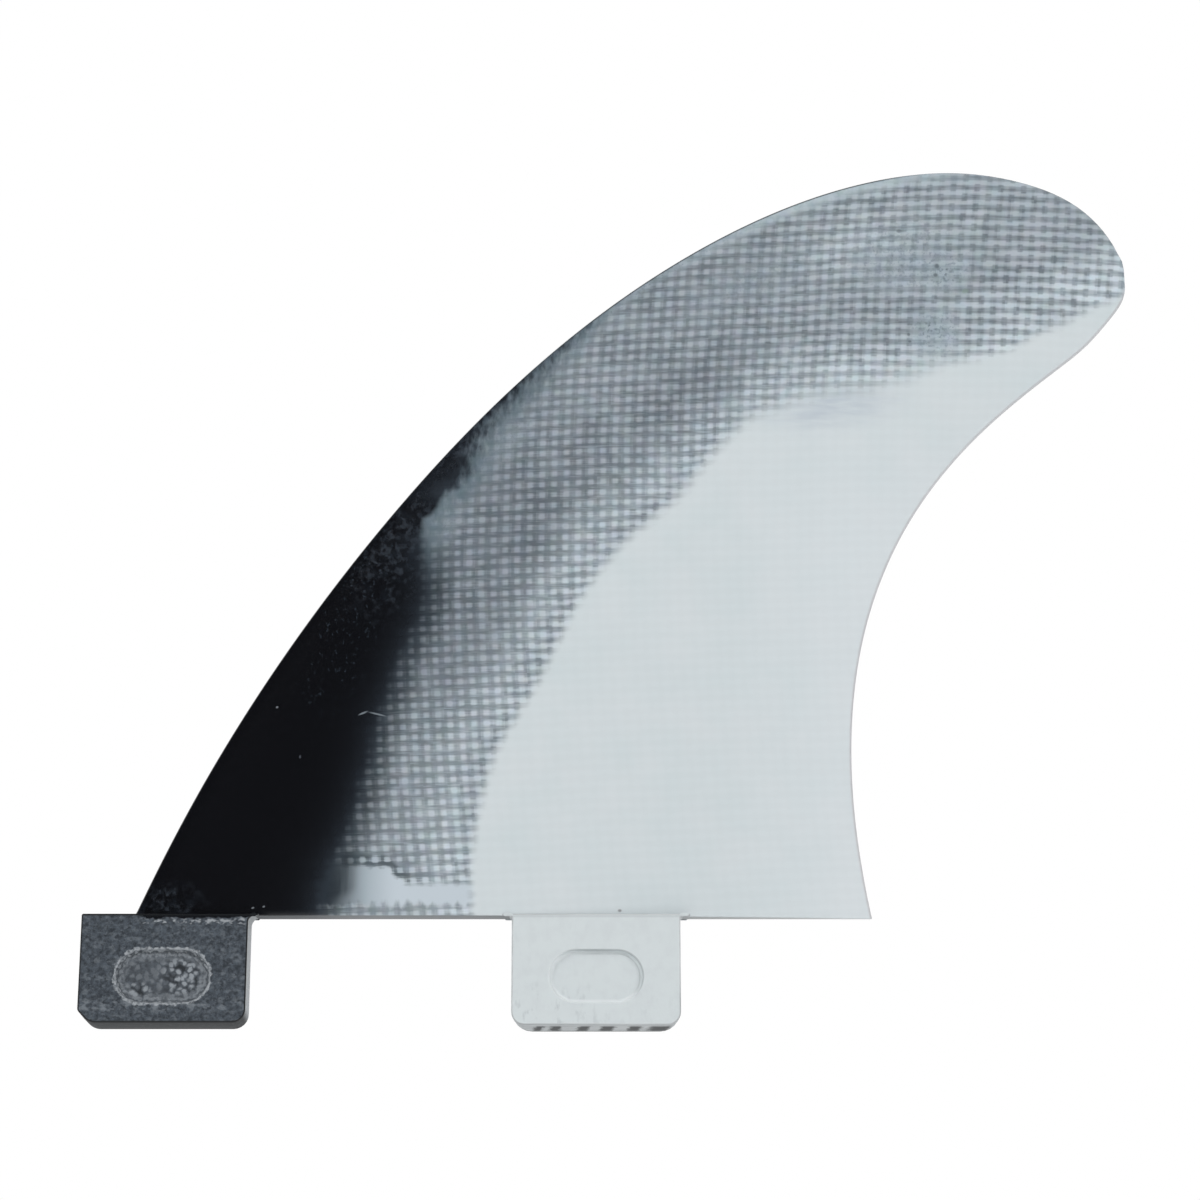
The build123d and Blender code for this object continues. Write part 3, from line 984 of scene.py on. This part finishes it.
def sanded_black(finish, shape, centre):
    """Black laminate taken down with coarse paper. It is matt slate grey, mottled by cut threads and starved
    resin, with a broken pale rim round the pocket, and the blade's black gloss runs onto its upper edge."""
    material, add, place, x, y, z = start_material("Sanded black laminate")
    height = tab_place(add, y, z, shape)[0]
    rim = off_pocket(add, x, height, centre, shape)
    skin = add("Mix RGBA", noise_between(add, place, 1.6, 0.34, 0.66), "#2E343B", finish.sanded_black)
    low_row = noise_between(add, place, 1.1, 0.5, 0.64, 0, 0.75, (0.7, 0.5, 1.1))
    low_row = add("MULTIPLY", line_at(add, height, -15.2, 1.4), low_row)
    skin = coated(
        add,
        skin,
        (noise_between(add, place, 1.2, 0.52, 0.7, 0, 0.55, (0.8, 0.5, 1.2)), "#6E757C"),
        (noise_between(add, place, 4.5, 0.6, 0.72, 0, 0.35), "#7C8389"),
        (noise_between(add, place, 3, 0.42, 0.28, 0, 0.8), "#23272B"),
        (low_row, "#747B82"),
    )

    # The pocket's floor shows cut thread ends, and its rim and foot have chipped pale
    inside = add("MapRange", rim, -0.9, -0.5, 1, 0)
    bent = add("TexNoise", place, 1.1, 3, out=1)
    bent = add("VectorMath MULTIPLY_ADD", bent, (1.1, 0, 1.1), place)
    bent = add("VectorMath MULTIPLY", bent, (1, 0.2, 1))
    ends = add("TexVoronoi", bent, 1)
    busy = add(
        "MAXIMUM",
        soft_oval(add, place, (centre + 3.2, -9.9), (4.5, 4.2)),
        soft_oval(add, place, (centre - 4, -12.2), (2.6, 1.6)),
    )
    busy = add("MapRange", busy, 0, 1, 0.25, 1)
    pale_ends = times(add, inside, busy, add("MapRange SMOOTHSTEP", ends, 0.3, 0.55, 1, 0))
    dark_ends = times(add, inside, busy, (ends, 0.55, 0.75, 0, 0.9))
    jagged = add("ADD", rim, noise_between(add, place, 1.3, 0.3, 0.7, -0.3, 0.3, detail=4))
    broken = noise_between(add, place, 1.9, 0.36, 0.56, 0.25, 1)
    skin = coated(
        add,
        skin,
        (add("MULTIPLY", inside, 0.4), "#555A60"),
        (pale_ends, "#8E949A"),
        (dark_ends, "#25292D"),
        (add("MULTIPLY", line_at(add, jagged, 0.12, 0.42, 0.95), broken), "#9CA1A6"),
        (add("MULTIPLY", line_at(add, jagged, -0.62, 0.5, 0.7), broken), "#8A9096"),
        (times(add, inside, broken, line_at(add, jagged, -1.35, 0.4, 0.35)), "#7E848A"),
        (line_at(add, jagged, -0.32, 0.2, 0.5), "#33383D"),
    )

    # The gloss skin runs down past the seat under the blade, and chips along its foot
    behind = add("MapRange", x, -39.6, -38.4)
    run = add("ADD", z, noise_between(add, place, 0.9, 0.3, 0.7, -0.3, 0.3))
    gloss = add("MULTIPLY", behind, (run, -0.5, -0.3))
    chips = add("MULTIPLY", behind, line_at(add, run, -0.95, 0.5))
    chips = add("MULTIPLY", chips, noise_between(add, place, 1.2, 0.5, 0.6, 0, 0.85, (0.8, 1, 1.4)))
    skin = coated(
        add,
        skin,
        (chips, "#9A9FA4"),
        (gloss, "#14161A"),
        ((z, -0.15, 0.1, 0, 0.9), "#202326"),
        ((height, -17.45, -17.75, 0, 0.7), "#2C3034"),
        ((x, -48.1, -48.4, 0, 0.6), "#2C3034"),
    )
    roughness = add("MapRange", gloss, 0, 1, 0.6, finish.gloss)
    relief = add("TexNoise", place, 3, 4)
    return finish_material(material, skin, roughness, SANDED_IOR, 0.6, 0.15 * MM, relief)


def sanded_white(finish, shape, centre):
    """White laminate taken down with coarse paper. It is matt and even, with faint grey smudges, fine grey
    lines along the pocket's upper rim, and painted light as a pale line along its lower rim."""
    material, add, place, x, y, z = start_material("Sanded white laminate")
    height = tab_place(add, y, z, shape)[0]
    rim = off_pocket(add, x, height, centre, shape)
    skin = add("Mix RGBA", noise_between(add, place, 0.5, 0.45, 0.7, 0, 0.5), finish.sanded_white, "#C6CCCF")
    smudge = noise_between(add, place, 0.7, 0.56, 0.7, 0, 0.5, (1.2, 1, 0.6))
    low_left = add("MapRange", height, -11, -14, 0.15, 1)
    low_left = add("MULTIPLY", low_left, (x, 38, 30, 0.25, 1))
    # The pocket's rim gets fine grey lines above a slanting line through its centre, and painted light below
    # it
    slant = 1.7
    upper = add("ADD", add("ADD", x, -centre), add("MULTIPLY", height, slant))
    middle = -slant * shape.pocket_drop / MM
    upper = add("MapRange SMOOTHSTEP", upper, middle - 1, middle + 6, 0.05, 1)
    lower = add("SUBTRACT", 1, upper)
    skin = coated(
        add,
        skin,
        (add("MULTIPLY", smudge, low_left), "#A3AAAE"),
        # painted light: a pale line along the pocket's lower rim lightens the shade of its wall
        (add("MULTIPLY", lower, line_at(add, rim, -0.25, 0.5, 0.6)), "#E6EAEC"),
        (add("MULTIPLY", upper, line_at(add, rim, 0.05, 0.17, 0.4)), "#7F8587"),
        (add("MULTIPLY", upper, line_at(add, rim, -0.5, 0.15, 0.25)), "#8C9294"),
        (line_at(add, z, -0.1, 0.3, 0.25), "#9BA1A4"),
    )
    return finish_material(material, skin, 0.55, SANDED_IOR, 0.3, 0.1 * MM, add("TexNoise", place, 2, 3))


def sawn_edge(name, skin_of, shape):
    """The laminate's sawn edge, matt, with its layers as fine lines along the edge. skin_of gives its
    colour."""
    material, add, place, x, y, z = start_material(name)
    height, out = tab_place(add, y, z, shape)
    layers = noise_between(add, place, 1, 0.3, 0.7, stretch=(0.06, 2.6, 0.1))
    skin = skin_of(add, place, x, height, out, layers)
    return finish_material(material, skin, 0.65, SANDED_IOR, 0.4, 0.05 * MM, layers)


def seat_skin(add, place, x, height, out, layers):
    """The seat shows black, clear and white laminate from front to rear."""
    clear = add("MapRange SMOOTHSTEP", x, -14, 0)
    white = add("MapRange", x, 12, 75)
    lines = add("MULTIPLY", layers, 0.35)
    return coated(add, "#54575A", (clear, "#8B8E91"), (white, "#D2D5D6"), (lines, "#5A5D60"))


def black_edge_skin(add, place, x, height, out, layers):
    """The front tab's edges are dark, but for the end toward the rear tab, painted pale as a reflection of
    the surround.
    """
    # painted reflection: the end toward the rear tab is made pale, as if it mirrored the bright surround
    painted_reflection = add("MULTIPLY", (x, -22.6, -21.9), (height, -17, -15.5))
    return coated(
        add,
        "#1F2225",
        (layers, "#2E3235"),
        (noise_between(add, place, 1.4, 0.55, 0.7, 0, 0.5), "#505457"),
        # painted shade: the dark line on the far side of the edge stands for shade at the outline; a like
        # dark line runs along the near side
        (line_at(add, out, -2.9, 0.9, 0.9), "#17191C"),
        (line_at(add, out, 3, 0.8, 0.9), "#17191C"),
        (add("MULTIPLY", painted_reflection, (out, 3, 2.7)), "#A1A5A8"),
    )


# Where each cut thread starts and stops on the rear tab's end, in millimetres along the seat
CUT_THREADS = [(25.1, 26.6), (27.6, 29.6), (32.1, 34.1), (35.7, 38.2), (40.3, 42.4), (43.3, 47.6)]


def white_edge_skin(add, place, x, height, out, layers):
    """The rear tab's edges are pale, its end shows a row of cut black threads, and painted shade darkens the
    end's far side.
    """
    end = add("MapRange", height, -17.6, -18)
    slant = add("MULTIPLY_ADD", out, -0.12, x)
    slant = add("ADD", slant, noise_between(add, place, 1.2, 0.3, 0.7, -0.4, 0.4))
    threads = 0
    for start, stop in CUT_THREADS:
        threads = add("ADD", threads, line_at(add, slant, (start + stop) / 2, (stop - start) / 2 + 0.25))
    threads = times(add, end, threads, line_at(add, out, -0.3, 3.1), 0.92)
    # painted shade: a dark line along the far side of the tab's end, where it turns away
    far = add("MULTIPLY", end, (out, -2.1, -2.7, 0, 0.75))
    return coated(add, "#A9ADAF", (layers, "#D0D4D6"), (threads, "#2B2D2F"), (far, "#3A3C3E"))


def fin_materials(finish, shape):
    """The fin's finishes, in the order of their face numbers."""
    gap = shape.tab_gap / MM / 2
    front_centre = -gap - shape.front_tab_length / MM / 2
    rear_centre = gap + shape.rear_tab_length / MM / 2
    return [
        glassed_laminate(finish),
        sawn_edge("Sawn laminate at the seat", seat_skin, shape),
        sanded_black(finish, shape, front_centre),
        sawn_edge("Sawn black laminate", black_edge_skin, shape),
        sanded_white(finish, shape, rear_centre),
        sawn_edge("Sawn white laminate", white_edge_skin, shape),
    ]


class OBJECT_OT_make_fin(bpy.types.Operator):
    """Makes the blade with its two tabs as one laminate piece"""

    bl_idname = "object.make_side_fin"
    bl_label = "Make fin"

    def execute(self, context):
        shape = context.scene.fin_shape
        materials = fin_materials(context.scene.fin_finish, shape)
        fin = joined(blade(shape, materials), tabs(shape, materials))
        mark_zones(fin)
        for vertex in fin.data.vertices:
            vertex.co *= MM
        fin.name = "fin_laminate"
        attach(fin, "root")
        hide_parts(FIN_NODE)
        return {"FINISHED"}


LAMP_SIZE = 0.5
FLOOR_RADIUS = 4


class OBJECT_OT_make_fin_stage(bpy.types.Operator):
    """Makes the floor, the pale surround, the lamps and the camera"""

    bl_idname = "object.make_side_fin_stage"
    bl_label = "Make stage"

    def execute(self, context):
        stage = context.scene.fin_stage
        scene = context.scene
        scene.view_settings.view_transform = "Standard"

        camera = bpy.data.objects.new("camera", bpy.data.cameras.new("camera"))
        scene.collection.objects.link(camera)
        camera.data.lens = stage.lens
        camera.data.sensor_width = 36
        camera.data.clip_start = 0.01
        camera.location = (stage.camera_x, stage.camera_y, stage.camera_z)
        camera.rotation_euler = (pi / 2 + stage.camera_rise, 0, 0)
        scene.camera = camera

        # A pale surround: it shows white, and glossy skins mirror it only from behind the fin, because the
        # room in front of the fin is dim
        world = bpy.data.worlds.new("pale room")
        scene.world = world
        world.use_nodes = True
        add = partial(add_node, world.node_tree)
        card = add("SeparateXYZ", add("TexCoord", out="Generated"), out="Y")
        card = add("MapRange SMOOTHSTEP", card, 0.35, 0.95, 0.012, 1)
        mirrors = [add("LightPath", out=f"Is {kind} Ray") for kind in ("Glossy", "Transmission")]
        strength = add("Mix FLOAT", add("MAXIMUM", *mirrors), stage.room_light, card)
        strength = add("Mix FLOAT", add("LightPath", out="Is Camera Ray"), strength, 1)
        background = world.node_tree.nodes["Background"].inputs
        feed(background["Color"], (1, 1, 1, 1))
        feed(background["Strength"], strength)

        for name, place, power in (
            ("soft lamp left", (-0.55, -0.55, 0.55), 3.4),
            ("soft lamp right", (0.75, -0.6, 0.35), 2.85),
            ("soft lamp behind", (0.65, 0.75, 0.1), 2.2),
        ):
            lamp = bpy.data.objects.new(name, bpy.data.lights.new(name, "AREA"))
            lamp.data.shape = "DISK"
            lamp.data.size = LAMP_SIZE
            lamp.data.energy = power
            lamp.visible_glossy = False  # the lamps stand in for a tent, which has no bright spot to mirror
            lamp.location = place
            aim = (FIN_LOW + FIN_HIGH) / 2 - lamp.location
            lamp.rotation_euler = aim.to_track_quat("-Z", "Y").to_euler()
            scene.collection.objects.link(lamp)

        bm = bmesh.new()
        bmesh.ops.create_circle(bm, cap_ends=True, segments=96, radius=FLOOR_RADIUS)
        mesh = bpy.data.meshes.new("floor")
        bm.to_mesh(mesh)
        bm.free()
        floor = bpy.data.objects.new("floor", mesh)
        floor.location = (0, 0, -stage.floor_drop)
        scene.collection.objects.link(floor)
        # Far from the fin the camera sees the floor paler, so that it meets the white surround without a
        # grey band
        painted, add, place, *_ = start_material("Matt white paint")
        away = add("MapRange SMOOTHSTEP", add("VectorMath LENGTH", place), 300, 1600, 0.05, 0.47)
        sockets = painted.node_tree.nodes["Principled BSDF"].inputs
        feed(sockets["Base Color"], "#F3F4F4")
        feed(sockets["Roughness"], 0.9)
        feed(sockets["Emission Strength"], add("MULTIPLY", add("LightPath", out="Is Camera Ray"), away))
        mesh.materials.append(painted)
        return {"FINISHED"}


class VIEW3D_PT_side_fin(bpy.types.Panel):
    """Sizes, colours and steps of the fin"""

    bl_label = "Side fin"
    bl_space_type = "VIEW_3D"
    bl_region_type = "UI"
    bl_category = "Fin"

    def draw(self, context):
        for heading, group, operator in (
            ("Shape", context.scene.fin_shape, None),
            ("Finish", context.scene.fin_finish, OBJECT_OT_make_fin.bl_idname),
            ("Stage", context.scene.fin_stage, OBJECT_OT_make_fin_stage.bl_idname),
        ):
            box = self.layout.box()
            box.label(text=heading)
            for name in group.bl_rna.properties.keys():
                if name not in ("rna_type", "name"):
                    box.prop(group, name)
            if operator:
                box.operator(operator)


CLASSES = (FinShape, FinFinish, FinStage, OBJECT_OT_make_fin, OBJECT_OT_make_fin_stage, VIEW3D_PT_side_fin)


def register():
    for cls in CLASSES:
        bpy.utils.register_class(cls)
    bpy.types.Scene.fin_shape = PointerProperty(type=FinShape)
    bpy.types.Scene.fin_finish = PointerProperty(type=FinFinish)
    bpy.types.Scene.fin_stage = PointerProperty(type=FinStage)


def unregister():
    del bpy.types.Scene.fin_stage
    del bpy.types.Scene.fin_finish
    del bpy.types.Scene.fin_shape
    for cls in reversed(CLASSES):
        bpy.utils.unregister_class(cls)


def main():
    register()
    bpy.ops.object.make_side_fin()
    bpy.ops.object.make_side_fin_stage()


if __name__ == "__main__":
    main()
